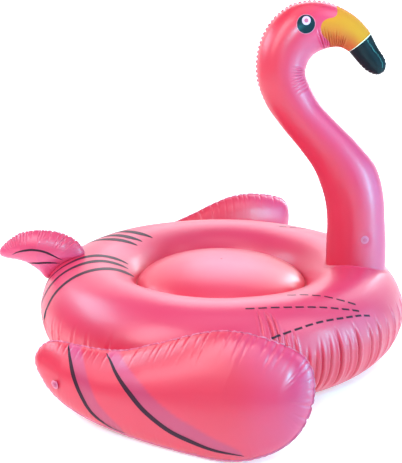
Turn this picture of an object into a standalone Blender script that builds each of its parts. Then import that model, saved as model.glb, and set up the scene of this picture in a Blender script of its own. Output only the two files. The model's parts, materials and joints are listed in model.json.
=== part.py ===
"""Giant inflatable bird float: ring, seat, neck and head, two wings, a tail and their valves.

Frame: metres, +Z up, the bird faces +X, its right side is -Y. The floor is z = 0 and the
origin is under the middle of the bounding box.

Every air chamber is two thin vinyl panels that meet at a weld seam, each with a hole where
its valve goes in. The neck, the wings and the tail turn on short hinges that stand in for
the flexing vinyl at their roots.
"""
import math

import bmesh
import bpy
from mathutils import Matrix, Vector

# ---------------------------------------------------------------- driving dimensions (metres)
RING_X = 0.0870            # ring centre, forward of the middle of the bounding box
RING_R = 0.522             # ring centre line radius
RING_W = 0.198             # tube half width
RING_H = 0.182             # tube half height
RING_N = 48                # facets around the ring
WALL = 0.002               # panel thickness
SMOOTH_ANGLE = math.radians(40)
GAP = 0.0003               # clearance between welded pieces
SEAM = 0.00015             # half of that, for panels that meet on a seam plane
SEAT_RISE = 0.100
SEAT_DROP = 0.080
SEAT_LIP = 0.008
NECK_X = RING_X + 0.532    # neck pivot
NECK_Z = 0.355
NECK_BASE_R = 0.118
NECK_CLEAR = 0.0065        # the neck's foot above the ring at its sides
NECK_SWAY = 0.0100         # and how much more fore and aft, for its bow
CUFF_R = 0.1085
CUFF_H = 0.050
CUFF_FOOT = 0.132
WING_ANGLE = math.radians(22.4)
WING_DIST = 0.785          # ring centre to the wing's middle surface
WING_FLARE = 0.120         # how far its lower edge leans out
WING_FLARE_TOP = 0.300
WING_T = 0.095             # half thickness
WING_HINGE_Z = 0.270
TAIL_T = 0.050
TAIL_HINGE = (Vector((RING_X - 0.708, 0, 0.266)), Vector((RING_X - 0.560, 0, 0.372)))
BEAK_ROW = 17              # station where the dark beak tip starts

# back edge x, z and front edge x, z, side half width, seam lip: measured from the ring centre
NECK_ROWS = [
    (0.416, 0.430, 0.647, 0.430, 0.115, 0.002),
    (0.416, 0.515, 0.639, 0.515, 0.112, 0.002),
    (0.411, 0.566, 0.631, 0.590, 0.111, 0.002),
    (0.403, 0.618, 0.616, 0.684, 0.110, 0.002),
    (0.377, 0.685, 0.559, 0.792, 0.103, 0.002),
    (0.335, 0.758, 0.480, 0.870, 0.092, 0.002),
    (0.270, 0.840, 0.400, 0.950, 0.086, 0.002),
    (0.195, 0.932, 0.341, 1.024, 0.086, 0.004),
    (0.145, 1.030, 0.317, 1.085, 0.090, 0.008),
    (0.127, 1.125, 0.316, 1.115, 0.093, 0.009),
    (0.155, 1.235, 0.328, 1.144, 0.094, 0.009),
    (0.217, 1.320, 0.348, 1.168, 0.092, 0.009),
    (0.300, 1.349, 0.374, 1.178, 0.087, 0.008),
    (0.373, 1.351, 0.407, 1.187, 0.078, 0.005),
    (0.440, 1.328, 0.434, 1.190, 0.067, 0.003),
    (0.500, 1.293, 0.452, 1.184, 0.057, 0.002),
    (0.550, 1.241, 0.470, 1.174, 0.047, 0.002),
    (0.577, 1.190, 0.505, 1.138, 0.038, 0.002),
    (0.597, 1.147, 0.541, 1.106, 0.029, 0.002),
    (0.600, 1.118, 0.570, 1.094, 0.015, 0.002),
]
# upper edge s, z and lower edge s, z along the wing, from its rear tip to its front
WING_ROWS = [
    (-0.333, 0.190, -0.333, 0.190),
    (-0.318, 0.222, -0.325, 0.160),
    (-0.262, 0.254, -0.262, 0.104),
    (-0.160, 0.255, -0.160, 0.059),
    (-0.080, 0.257, -0.080, 0.037),
    (0.000, 0.267, 0.000, 0.025),
    (0.110, 0.306, 0.110, 0.014),
    (0.220, 0.348, 0.220, 0.009),
    (0.330, 0.388, 0.330, 0.008),
    (0.420, 0.398, 0.434, 0.014),
    (0.510, 0.388, 0.529, 0.045),
    (0.590, 0.371, 0.600, 0.090),
    (0.637, 0.340, 0.644, 0.150),
    (0.656, 0.300, 0.659, 0.205),
    (0.663, 0.252, 0.663, 0.252),
]
# upper edge x, z, lower edge x, z and bow, from the tail's root to its tip
TAIL_ROWS = [
    (-0.560, 0.372, -0.708, 0.266, 0.026),
    (-0.600, 0.430, -0.735, 0.290, 0.014),
    (-0.650, 0.452, -0.765, 0.316, 0.004),
    (-0.710, 0.460, -0.800, 0.336, 0.000),
    (-0.767, 0.457, -0.835, 0.345, 0.000),
    (-0.820, 0.440, -0.865, 0.349, 0.000),
    (-0.862, 0.408, -0.885, 0.355, 0.000),
    (-0.894, 0.368, -0.894, 0.368, 0.000),
]
PILLOW_V = (-1.0, -0.93, -0.72, -0.38, 0.0, 0.38, 0.72, 0.93, 1.0)
VINYL = {
    "pink": (0.82, 0.10, 0.28, 1.0),
    "coral": (0.83, 0.09, 0.16, 1.0),
    "dark": (0.012, 0.012, 0.016, 1.0),
    "clear": (0.80, 0.55, 0.62, 1.0),
}


# ---------------------------------------------------------------- helpers
def clear_scene():
    """Remove what a new file holds, so that only this part is left."""
    for ob in list(bpy.data.objects):
        bpy.data.objects.remove(ob, do_unlink=True)


def material(name, colour):
    """A Principled material of one colour."""
    mat = bpy.data.materials.new(name)
    mat.use_nodes = True
    shader = mat.node_tree.nodes["Principled BSDF"]
    shader.inputs["Base Color"].default_value = colour
    shader.inputs["Roughness"].default_value = 0.35
    mat.diffuse_color = colour
    return mat


def finish(name, bm, colour, origin=None):
    """Turn a closed bmesh in world coordinates into one named object with its own material."""
    bmesh.ops.remove_doubles(bm, verts=bm.verts, dist=2e-5)
    bmesh.ops.recalc_face_normals(bm, faces=bm.faces)
    origin = Vector(origin) if origin is not None else Vector((0, 0, 0))
    bmesh.ops.translate(bm, verts=bm.verts, vec=-origin)
    mesh = bpy.data.meshes.new(name)
    bm.to_mesh(mesh)
    bm.free()
    ob = bpy.data.objects.new(name, mesh)
    ob.location = origin
    mesh.materials.append(material(name, VINYL[colour]))
    mesh.shade_smooth()
    mesh.set_sharp_from_angle(angle=SMOOTH_ANGLE)
    bpy.context.scene.collection.objects.link(ob)
    return ob


def panel(name, outer, inner, colour, closed=False, origin=None):
    """Build a thin panel between two matching grids of points; closed joins the last row to the first."""
    bm = bmesh.new()
    grids = [[[bm.verts.new(p) for p in row] for row in grid] for grid in (outer, inner)]
    rows = len(outer)
    cols = len(outer[0])
    last = rows if closed else rows - 1

    def quad(*corners):
        used = []
        for v in corners:
            if all((v.co - w.co).length > 1e-5 for w in used):
                used.append(v)
        if len(used) > 2:
            bm.faces.new(used)

    for i in range(last):
        k = (i + 1) % rows
        for j in range(cols - 1):
            for grid in grids:
                quad(grid[i][j], grid[k][j], grid[k][j + 1], grid[i][j + 1])
        for j in (0, cols - 1):
            quad(grids[0][i][j], grids[0][k][j], grids[1][k][j], grids[1][i][j])
    if not closed:
        for i in (0, rows - 1):
            for j in range(cols - 1):
                quad(grids[0][i][j], grids[0][i][j + 1], grids[1][i][j + 1], grids[1][i][j])
    return finish(name, bm, colour, origin)


def turned(name, profile, colour, place, segments=16):
    """Turn a closed (radius, height) outline about local Z and place it with a matrix."""
    bm = bmesh.new()
    loops = []
    for k in range(segments):
        a = 2 * math.pi * (k + 0.5) / segments
        loops.append([bm.verts.new((r * math.cos(a), r * math.sin(a), z)) for r, z in profile])
    count = len(profile)
    for k in range(segments):
        here = loops[k]
        then = loops[(k + 1) % segments]
        for j in range(count):
            m = (j + 1) % count
            corners = [here[j], then[j], then[m], here[m]]
            used = []
            for v in corners:
                if all((v.co - w.co).length > 1e-6 for w in used):
                    used.append(v)
            if len(used) > 2:
                bm.faces.new(used)
    ob = finish(name, bm, colour)
    ob.matrix_world = place
    return ob


def axis_frame(point, normal):
    """A placing matrix whose local Z runs along the normal."""
    turn = Vector(normal).to_track_quat("Z", "Y").to_matrix().to_4x4()
    return Matrix.Translation(point) @ turn


def facet(grid, i, j):
    """Centre and normal of one cell of a grid of points."""
    a = Vector(grid[i][j])
    b = Vector(grid[(i + 1) % len(grid)][j])
    c = Vector(grid[(i + 1) % len(grid)][j + 1])
    d = Vector(grid[i][j + 1])
    return (a + b + c + d) / 4, (c - a).cross(d - b).normalized()


def cut_hole(ob, place, radius):
    """Cut a round valve hole through a panel with a hidden cylinder."""
    bm = bmesh.new()
    bmesh.ops.create_cone(bm, cap_ends=True, segments=16, radius1=radius, radius2=radius, depth=0.03)
    mesh = bpy.data.meshes.new("cut_" + ob.name)
    bm.to_mesh(mesh)
    bm.free()
    cutter = bpy.data.objects.new("cut_" + ob.name, mesh)
    cutter.matrix_world = place
    cutter.hide_render = True
    cutter.display_type = "WIRE"
    bpy.context.scene.collection.objects.link(cutter)
    mod = ob.modifiers.new("valve_hole", "BOOLEAN")
    mod.operation = "DIFFERENCE"
    mod.solver = "EXACT"
    mod.object = cutter


# ---------------------------------------------------------------- ring and seat
def ring_profile(half):
    """Outer (radius, height) points of the tube: the upper half in 8 steps, the lower in 9."""
    steps = 8 if half > 0 else 9
    points = []
    for k in range(steps + 1):
        a = math.pi * k / steps
        z = RING_H + half * (RING_H + (0.004 if half < 0 else 0)) * math.sin(a)
        points.append((RING_R + RING_W * math.cos(a), max(z, 0.0), a))
    return points


def ring_height(x, y):
    """Height of the ring's smooth upper surface above a point of the floor."""
    off = (math.hypot(x - RING_X, y) - RING_R) / RING_W
    return RING_H + RING_H * math.sqrt(max(0.0, 1 - off * off))


def spin(points):
    """Turn (radius, height) points about the ring's axis into a grid, one row per angle."""
    grid = []
    for k in range(RING_N):
        a = 2 * math.pi * k / RING_N
        grid.append([(RING_X + r * math.cos(a), r * math.sin(a), z) for r, z in points])
    return grid


def build_ring():
    """The two ring panels; the lower one has a flat band that rests on the floor."""
    made = {}
    for name, half in (("ring_upper_panel", 1), ("ring_lower_panel", -1)):
        outer = []
        inner = []
        for r, z, a in ring_profile(half):
            edge = RING_H + half * SEAM
            zo = max(z, edge) if half > 0 else min(z, edge)
            zi = RING_H + half * (RING_H - WALL) * math.sin(a)
            zi = max(zi, edge) if half > 0 else max(min(zi, edge), WALL)
            outer.append((r, zo))
            inner.append((RING_R + (RING_W - WALL) * math.cos(a), zi))
        grid = spin(outer)
        made[name] = (panel(name, grid, spin(inner), "pink", closed=True), grid)
    return made


def build_seat():
    """The domed seat chamber: an upper and a lower panel with a flat weld lip inside the ring."""
    r_edge, z_edge, _ = ring_profile(1)[7]
    radius = r_edge - 0.0010
    z_edge = z_edge + 0.0004
    share = (1.0, 1 - SEAT_LIP / radius, 0.93, 0.80, 0.60, 0.34, 0.0)
    made = {}
    sides = (("seat_upper_panel", 1, SEAT_RISE, 0.58), ("seat_lower_panel", -1, SEAT_DROP, 1.0))
    for name, sign, depth, power in sides:
        outer = []
        inner = []
        for k, s in enumerate(share):
            t = s / share[1]
            h = depth * max(0.0, 1 - t * t) ** power if k > 1 else 0.0
            outer.append((s * radius, z_edge + sign * (h + SEAM + WALL)))
            inner.append((s * radius, z_edge + sign * (max(h - 0.0005, 0.0) + SEAM)))
        grid = spin(outer)
        made[name] = (panel(name, grid, spin(inner), "coral", closed=True), grid)
    return made


# ---------------------------------------------------------------- neck, head and beak
def neck_base_row():
    """The neck's lowest row: it follows the ring, with more room fore and aft for its bow."""
    row = []
    for k in range(9):
        a = math.pi * k / 8
        x = NECK_X - NECK_BASE_R * math.cos(a)
        y = NECK_BASE_R * math.sin(a)
        row.append((x, y, ring_height(x, y) + NECK_CLEAR + NECK_SWAY * math.cos(a) ** 2))
    return row


def neck_grids(rows, first):
    """Outer and inner grids of a half shell on +Y; column 0 is the tip of the seam lip."""
    outer = []
    inner = []
    if first:
        base = neck_base_row()
        x, _, z = base[0]
        out_row = [(x - 0.002, SEAM + WALL, z), (x - 0.0001, SEAM + WALL, z)]
        in_row = [(x - 0.002, SEAM, z), (x + WALL, SEAM, z)]
        for k in range(1, 9):
            px, py, pz = base[k]
            out_row.append((px, max(py, SEAM), pz))
            shrink = (NECK_BASE_R - WALL) / NECK_BASE_R
            in_row.append((NECK_X + (px - NECK_X) * shrink, max(py * shrink, SEAM), pz))
        outer.append(out_row)
        inner.append(in_row)
    for bx, bz, fx, fz, side, lip in rows:
        back = Vector((RING_X + bx, 0, bz))
        front = Vector((RING_X + fx, 0, fz))
        centre = (back + front) / 2
        a = (back - front).length / 2
        along = (back - front).normalized()
        tip = centre + along * (a + lip)
        root = centre + along * (a - 0.0001)
        out_row = [tip + Vector((0, SEAM + WALL, 0)), root + Vector((0, SEAM + WALL, 0))]
        in_row = [tip + Vector((0, SEAM, 0)), centre + along * (a - WALL) + Vector((0, SEAM, 0))]
        for k in range(1, 9):
            t = math.pi * k / 8
            po = centre + along * (a * math.cos(t)) + Vector((0, max(side * math.sin(t), SEAM), 0))
            pi = centre + along * ((a - WALL) * math.cos(t))
            pi = pi + Vector((0, max((side - WALL) * math.sin(t), SEAM), 0))
            out_row.append(po)
            in_row.append(pi)
        outer.append(out_row)
        inner.append(in_row)
    return outer, inner


def mirrored(grid):
    return [[(p[0], -p[1], p[2]) for p in row] for row in grid]


def build_neck():
    """Neck and head as a left and a right panel, with the beak tip as a smaller dark pair."""
    pivot = (NECK_X, 0, NECK_Z)
    made = {}
    outer, inner = neck_grids(NECK_ROWS[:BEAK_ROW], True)
    made["neck_left_panel"] = (panel("neck_left_panel", outer, inner, "pink", origin=pivot), outer)
    made["neck_right_panel"] = (
        panel("neck_right_panel", mirrored(outer), mirrored(inner), "pink", origin=pivot),
        mirrored(outer),
    )
    outer, inner = neck_grids(NECK_ROWS[BEAK_ROW - 1:], False)
    ahead = [Vector(outer[1][k]) - Vector(outer[0][k]) for k in range(len(outer[0]))]
    for grid in (outer, inner):
        grid[0] = [Vector(p) + d * (GAP / d.length) for p, d in zip(grid[0], ahead)]
    end = Vector((RING_X + 0.590, 0, 1.096))
    outer.append([end + Vector((0, SEAM + WALL, 0))] * len(outer[0]))
    inner.append([end + Vector((0, SEAM, 0))] * len(inner[0]))
    panel("beak_tip_left", outer, inner, "dark", origin=pivot)
    panel("beak_tip_right", mirrored(outer), mirrored(inner), "dark", origin=pivot)
    return made


def build_cuff():
    """The cuff welded to the ring: a foot under the neck's rim and a skirt up inside the neck."""
    segments = 32
    bm = bmesh.new()
    loops = []
    for k in range(segments):
        a = 2 * math.pi * k / segments
        points = []
        lean = CUFF_R - 0.09 * CUFF_H
        shape = (
            (CUFF_FOOT, 0.0012, None),
            (CUFF_FOOT, 0.0026, None),
            (CUFF_R, 0.0034, None),
            (lean, None, NECK_Z + CUFF_H),
            (lean - WALL, None, NECK_Z + CUFF_H),
            (CUFF_R - WALL, 0.0012, None),
        )
        for r, lift, z in shape:
            x = NECK_X + r * math.cos(a)
            y = r * math.sin(a)
            points.append(bm.verts.new((x, y, z if lift is None else ring_height(x, y) + lift)))
        loops.append(points)
    for k in range(segments):
        here = loops[k]
        then = loops[(k + 1) % segments]
        for j in range(6):
            m = (j + 1) % 6
            bm.faces.new([here[j], then[j], then[m], here[m]])
    return finish("neck_cuff", bm, "pink")


# ---------------------------------------------------------------- wings and tail
def wing_point(s, z, h, side):
    """Point at s along and z up the wing's middle surface, h out along its normal."""
    rise = max(0.0, (WING_FLARE_TOP - z) / WING_FLARE_TOP)
    out = WING_DIST + WING_FLARE * rise ** 1.4
    slope = 1.4 * WING_FLARE * rise ** 0.4 / WING_FLARE_TOP
    size = math.hypot(1.0, slope)
    out = out + h / size
    z = z + h * slope / size
    x = RING_X + s * math.cos(WING_ANGLE) - out * math.sin(WING_ANGLE)
    y = s * math.sin(WING_ANGLE) + out * math.cos(WING_ANGLE)
    return Vector((x, side * y, z))


def pillow(shape, heights, depth, side_sign, place):
    """Outer and inner grids of one pillow panel over rows of edge pairs."""
    outer = []
    inner = []
    for row, reach in zip(shape, heights):
        out_row = []
        in_row = []
        for c in PILLOW_V:
            t = min(1.0, abs(c) / 0.93)
            h = depth * reach * (1 - t * t) ** 0.55
            out_row.append(place(row, c, side_sign * (h + SEAM + WALL)))
            in_row.append(place(row, c, side_sign * (max(h - 0.0006, 0.0) + SEAM)))
        outer.append(out_row)
        inner.append(in_row)
    return outer, inner


def build_wing(name, side):
    """One wing: an outer and an inner pillow panel, both turning on the hinge by the ring."""
    count = len(WING_ROWS) - 1
    heights = [math.sin(math.pi * min(1.0, (k / count) ** 0.95)) ** 0.6 if 0 < k < count else 0.0
               for k in range(count + 1)]
    hinge = wing_point(0.0, WING_HINGE_Z, -0.080, side)

    def place(row, c, h):
        us, uz, ls, lz = row
        w = (1 + c) / 2
        return wing_point(ls + (us - ls) * w, lz + (uz - lz) * w, h, side)

    made = {}
    for part, sign in (("outer_panel", 1), ("inner_panel", -1)):
        outer, inner = pillow(WING_ROWS, heights, WING_T, sign, place)
        full = name + "_wing_" + part
        made[full] = (panel(full, outer, inner, "coral", origin=hinge), outer)
    return made


def build_wing_tab(name, side):
    """The weld strip that holds a wing: a curved plate on the ring's outer side."""
    mid = math.pi / 2 + WING_ANGLE
    outer = []
    inner = []
    for k in range(7):
        a = mid + math.radians(-15 + 5 * k)
        step = 2 * math.pi / RING_N
        facet_r = math.cos(step / 2) / math.cos((a % step) - step / 2)
        rows = ([], [])
        for up in (0.200, 0.225, 0.250):
            r = RING_R + RING_W * math.sqrt(max(0.0, 1 - ((up - RING_H) / RING_H) ** 2))
            for lift, row in ((0.0060, rows[0]), (0.0008, rows[1])):
                rr = (r + lift) * max(facet_r, 0.9979) / 0.9979
                row.append((RING_X + rr * math.cos(a), side * rr * math.sin(a), up))
        outer.append(rows[0])
        inner.append(rows[1])
    return panel(name + "_wing_tab", outer, inner, "coral")


def build_tail():
    """The tail pillow, standing up along the middle of the float, and the strip it is welded to."""
    heights = (0.0, 0.62, 0.90, 1.0, 0.95, 0.80, 0.52, 0.0)
    hinge = (TAIL_HINGE[0] + TAIL_HINGE[1]) / 2

    def place(row, c, h):
        ux, uz, lx, lz, bow = row
        w = (1 + c) / 2
        bend = bow * (1 - c * c)
        return Vector((RING_X + lx + (ux - lx) * w - 0.58 * bend, h, lz + (uz - lz) * w + 0.81 * bend))

    made = {}
    for part, sign in (("left_panel", 1), ("right_panel", -1)):
        outer, inner = pillow(TAIL_ROWS, heights, TAIL_T, sign, place)
        made["tail_" + part] = (panel("tail_" + part, outer, inner, "pink", origin=hinge), outer)
    outer = []
    inner = []
    for c in PILLOW_V:
        root = place(TAIL_ROWS[0], c, 0.0)
        low = Vector((root.x, 0, ring_height(root.x, 0.0) + 0.0018))
        high = root + Vector((0.58, 0, -0.81)) * 0.0012
        if (high - low).length < 0.0015:
            high = low + Vector((-0.58, 0, 0.81)) * 0.0015
        outer.append([low + Vector((0, 0.0012, 0)), high + Vector((0, 0.0012, 0))])
        inner.append([low - Vector((0, 0.0012, 0)), high - Vector((0, 0.0012, 0))])
    panel("tail_tab", outer, inner, "pink")
    return made


# ---------------------------------------------------------------- valves
def small_valve(prefix, ob, grid, i, j, lift=0.0008):
    """A push-in air valve: flange with a guide tube, sliding stem, and plug."""
    point, normal = facet(grid, i, j)
    centre = sum((Vector(p) for row in grid for p in row), Vector()) / (len(grid) * len(grid[0]))
    if normal.dot(point - centre) < 0:
        normal = -normal
    place = axis_frame(point + normal * lift, normal)
    cut_hole(ob, place, 0.0100)
    turned(prefix + "_valve_flange", [
        (0.0083, -0.014), (0.0094, -0.014), (0.0094, 0.0), (0.0160, 0.0),
        (0.0160, 0.0010), (0.0083, 0.0014),
    ], "clear", place)
    turned(prefix + "_valve_stem", [
        (0.0040, -0.0150), (0.0079, -0.0150), (0.0079, 0.0017), (0.0102, 0.0017),
        (0.0102, 0.0030), (0.0040, 0.0034),
    ], "clear", place)
    turned(prefix + "_valve_plug", [
        (0.0, -0.0070), (0.0032, -0.0070), (0.0038, -0.0055), (0.0038, 0.0037),
        (0.0080, 0.0037), (0.0080, 0.0050), (0.0066, 0.0058), (0.0, 0.0060),
    ], "clear", place)
    return place


def ring_valve(ob, grid):
    """The large ring valve: threaded base with a flap seat, one-way flap and push-on cap."""
    point, normal = facet(grid, 5, 2)
    if normal.z < 0:
        normal = -normal
    place = axis_frame(point + normal * GAP, normal)
    cut_hole(ob, place, 0.0250)
    turned("ring_valve_base", [
        (0.0170, -0.0220), (0.0245, -0.0220), (0.0245, 0.0), (0.0330, 0.0),
        (0.0330, 0.0014), (0.0260, 0.0022), (0.0215, 0.0022), (0.0215, -0.0200),
        (0.0170, -0.0200),
    ], "clear", place, 24)
    turned("ring_valve_cap", [
        (0.0170, -0.0120), (0.0190, -0.0120), (0.0210, -0.0100), (0.0210, 0.0025),
        (0.0280, 0.0025), (0.0280, 0.0055), (0.0265, 0.0068), (0.0, 0.0072),
        (0.0, 0.0052), (0.0170, 0.0052),
    ], "pink", place, 24)
    hinge = place @ Matrix.Translation((0.0205, 0, -0.0231))
    bm = bmesh.new()
    bmesh.ops.create_cone(bm, cap_ends=True, segments=24, radius1=0.0200, radius2=0.0200, depth=0.0014)
    bmesh.ops.translate(bm, verts=bm.verts, vec=(-0.0205, 0, 0.0))
    flap = finish("ring_valve_flap", bm, "clear")
    flap.matrix_world = hinge
    return place, hinge


def main():
    clear_scene()
    ring = build_ring()
    seat = build_seat()
    neck = build_neck()
    build_cuff()
    wings = {}
    for name, side in (("right", -1), ("left", 1)):
        wings.update(build_wing(name, side))
        build_wing_tab(name, side)
    tail = build_tail()
    ring_valve(*ring["ring_upper_panel"])
    small_valve("seat", *seat["seat_lower_panel"], 35, 3)
    small_valve("neck", *neck["neck_right_panel"], 1, 5)
    small_valve("right_wing", *wings["right_wing_outer_panel"], 2, 2)
    small_valve("left_wing", *wings["left_wing_outer_panel"], 2, 2)
    small_valve("tail", *tail["tail_left_panel"], 2, 3)


main()
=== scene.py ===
"""Looks of the giant inflatable bird float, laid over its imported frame.

Every air chamber is a smooth vinyl skin worked out from a few edge points, pinched into
folds along its weld seams. Printed strokes, the eyes and the dashed lines are thin films
that cling to those skins.
"""
import json
import math

import bpy
import numpy as np
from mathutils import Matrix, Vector
from mathutils.bvhtree import BVHTree


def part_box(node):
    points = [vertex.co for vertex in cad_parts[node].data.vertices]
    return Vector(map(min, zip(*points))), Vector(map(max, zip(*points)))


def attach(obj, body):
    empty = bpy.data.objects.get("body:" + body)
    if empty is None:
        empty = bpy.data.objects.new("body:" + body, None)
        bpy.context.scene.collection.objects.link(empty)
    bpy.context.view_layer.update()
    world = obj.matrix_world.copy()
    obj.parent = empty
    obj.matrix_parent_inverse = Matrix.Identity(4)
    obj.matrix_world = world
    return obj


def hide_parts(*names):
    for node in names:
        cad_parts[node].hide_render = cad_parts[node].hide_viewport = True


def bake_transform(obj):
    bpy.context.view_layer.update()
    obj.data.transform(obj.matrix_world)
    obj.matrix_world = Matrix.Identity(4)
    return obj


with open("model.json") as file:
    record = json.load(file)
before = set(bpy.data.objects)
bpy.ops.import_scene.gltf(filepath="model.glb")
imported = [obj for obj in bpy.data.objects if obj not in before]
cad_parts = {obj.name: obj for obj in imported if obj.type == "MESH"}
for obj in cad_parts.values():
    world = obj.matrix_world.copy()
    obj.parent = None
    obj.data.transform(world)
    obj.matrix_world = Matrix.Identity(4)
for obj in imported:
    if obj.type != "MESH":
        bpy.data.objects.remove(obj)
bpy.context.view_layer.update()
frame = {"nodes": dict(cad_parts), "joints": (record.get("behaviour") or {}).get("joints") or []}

bl_info = {
    "name": "Inflatable Bird Float",
    "version": (1, 0, 0),
    "blender": (4, 5, 0),
    "location": "View3D > Sidebar > Float",
    "description": "Builds the skins, prints, valves and stage of a giant inflatable bird float",
    "category": "Add Mesh",
}

# ---- sizes read from the frame
RING_LOW, RING_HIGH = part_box("ring_upper_panel")
RING_X = (RING_LOW[0] + RING_HIGH[0]) / 2
RING_OUT = (RING_HIGH[0] - RING_LOW[0]) / 2
TUBE_H = RING_HIGH[2] / 2
SEAT_LOW, SEAT_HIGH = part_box("seat_upper_panel")
SEAT_R = (SEAT_HIGH[0] - SEAT_LOW[0]) / 2
SEAT_Z = SEAT_LOW[2]
JOINTS = {joint["name"]: joint for joint in frame["joints"]}

# how a wing stands: its turn, its distance from the middle, and how far and how high its foot flares
WING_ANGLE = math.radians(22.4)
WING_DIST = 0.785
WING_FLARE = 0.120
WING_FLARE_TOP = 0.300
NECK_MID = 0.532        # middle of the neck's foot, from the ring's centre
REST_SAG = 0.003        # how far the tube would reach below the floor if it didn't rest flat on it
FILM = 0.004            # how much thinner a pillow's skin starts than its setting

# back edge x, z, front edge x, z and side half width, from the ring centre up to the beak's border
NECK_ROWS = [
    (0.4150, 0.325, 0.6500, 0.325, 0.1175),
    (0.4160, 0.430, 0.6470, 0.430, 0.115),
    (0.4160, 0.515, 0.6390, 0.515, 0.112),
    (0.4070, 0.590, 0.6260, 0.635, 0.111),
    (0.3880, 0.655, 0.5900, 0.742, 0.107),
    (0.3540, 0.730, 0.5120, 0.838, 0.096),
    (0.2980, 0.806, 0.4360, 0.913, 0.088),
    (0.2270, 0.890, 0.3670, 0.985, 0.085),
    (0.1650, 0.978, 0.3270, 1.055, 0.088),
    (0.1300, 1.080, 0.3140, 1.100, 0.092),
    (0.1350, 1.185, 0.3200, 1.132, 0.094),
    (0.1750, 1.275, 0.3360, 1.156, 0.093),
    (0.2430, 1.337, 0.3560, 1.171, 0.090),
    (0.3140, 1.356, 0.3810, 1.182, 0.085),
    (0.3800, 1.352, 0.4080, 1.189, 0.077),
    (0.4410, 1.330, 0.4340, 1.190, 0.068),
    (0.5000, 1.293, 0.4520, 1.184, 0.057),
    (0.5500, 1.241, 0.4700, 1.174, 0.047),
]
# the same from the beak's border to its tip
TIP_ROWS = [
    (0.5500, 1.241, 0.4700, 1.174, 0.047),
    (0.5790, 1.190, 0.5030, 1.138, 0.041),
    (0.6040, 1.156, 0.5300, 1.110, 0.037),
    (0.6130, 1.129, 0.5530, 1.095, 0.031),
    (0.6090, 1.106, 0.5720, 1.088, 0.022),
    (0.5950, 1.091, 0.5860, 1.087, 0.003),
]
# outline of a wing, s along and z up, from the rear tip over the top and back below
WING_EDGE = [
    (-0.333, 0.195), (-0.318, 0.226), (-0.288, 0.247), (-0.245, 0.255), (-0.160, 0.254), (-0.070, 0.256),
    (0.010, 0.268), (0.090, 0.297), (0.170, 0.328), (0.250, 0.361), (0.330, 0.387), (0.410, 0.398),
    (0.490, 0.393), (0.560, 0.380), (0.618, 0.358), (0.650, 0.318), (0.662, 0.256), (0.658, 0.200),
    (0.640, 0.145), (0.605, 0.097), (0.550, 0.057), (0.480, 0.028), (0.400, 0.013), (0.300, 0.011),
    (0.180, 0.014), (0.050, 0.023), (-0.080, 0.040), (-0.180, 0.066), (-0.255, 0.100), (-0.303, 0.138),
    (-0.328, 0.168),
]
# outline of the tail, x and z, from the lower end of its root round the tip to the upper end
TAIL_EDGE = [
    (-0.706, 0.262), (-0.730, 0.287), (-0.760, 0.312), (-0.797, 0.333), (-0.838, 0.343), (-0.872, 0.348),
    (-0.890, 0.358), (-0.892, 0.374), (-0.876, 0.396), (-0.845, 0.424), (-0.805, 0.447), (-0.760, 0.457),
    (-0.710, 0.460), (-0.655, 0.453), (-0.605, 0.434), (-0.572, 0.408), (-0.552, 0.366),
]
# printed lines on the ring: turn about the ring and about the tube, in degrees, and widest width
STRIPES = [
    ([(174, 135), (179, 114), (181.7, 98), (184.6, 82), (187.0, 66), (187.5, 50), (187, 34),
      (186, 18)], 0.024),
    ([(180, 138), (186, 119), (189, 103), (191.8, 88), (193.8, 72), (194.8, 54), (195.3, 37),
      (195.2, 19), (193.5, 3)], 0.024),
    ([(181, 150), (193, 129), (199.5, 108), (202, 92), (203, 80), (203.6, 68), (204, 53),
      (204, 37), (204, 22), (203, 6), (200, -14)], 0.024),
    ([(135, 117), (139.3, 100), (141.6, 85), (143.2, 70), (144.5, 52), (145, 32), (144, 12)], 0.026),
    ([(143.5, 118), (147, 102), (149.2, 85), (150.8, 70), (152, 52), (152.4, 32), (151, 12)], 0.026),
    ([(149.4, 121), (153, 104), (155.8, 89), (157.2, 73), (158.4, 52), (158.8, 32), (157.5, 14)], 0.026),
]
DASHES = [
    [(-61.5, 95), (-59.4, 92), (-55.7, 88), (-49.9, 77.5), (-46.9, 69.4), (-44, 60.8), (-39.5, 48)],
    [(-80.7, 73.8), (-69.3, 71.6), (-56.3, 63.4), (-45.7, 50.1), (-39.5, 40)],
    [(-78, 31.5), (-67.7, 40.5), (-56.9, 44.6), (-43.9, 39.7), (-36.5, 32)],
]
# printed lines on a wing (s, z) and on the tail (x, z)
WING_LINES = [
    [(-0.206, 0.254), (-0.187, 0.235), (-0.164, 0.204), (-0.135, 0.158), (-0.103, 0.112), (-0.060, 0.064),
     (0.000, 0.034), (0.060, 0.024)],
    [(-0.050, 0.251), (-0.017, 0.233), (0.029, 0.194), (0.085, 0.149), (0.146, 0.103), (0.227, 0.064),
     (0.303, 0.046), (0.385, 0.035), (0.480, 0.037)],
]
TAIL_LINES = [
    [(-0.836, 0.368), (-0.805, 0.383), (-0.753, 0.393), (-0.708, 0.387), (-0.672, 0.372), (-0.632, 0.350)],
    [(-0.780, 0.329), (-0.737, 0.336), (-0.692, 0.339), (-0.645, 0.334)],
]
# where the yellow of the face begins, x and z, from the top of the head to the underside
FACE_EDGE = [
    (0.417, 1.372), (0.419, 1.336), (0.417, 1.312), (0.403, 1.302), (0.384, 1.298), (0.366, 1.288),
    (0.358, 1.268), (0.362, 1.247), (0.374, 1.231), (0.388, 1.219), (0.397, 1.203), (0.400, 1.170),
]
FACE_LOWEST = 1.16
# middle of an eye, x and z, and how far its highlight lies from it
EYE = (0.304, 1.279)
GLINT = (0.001, 0.0125)

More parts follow.
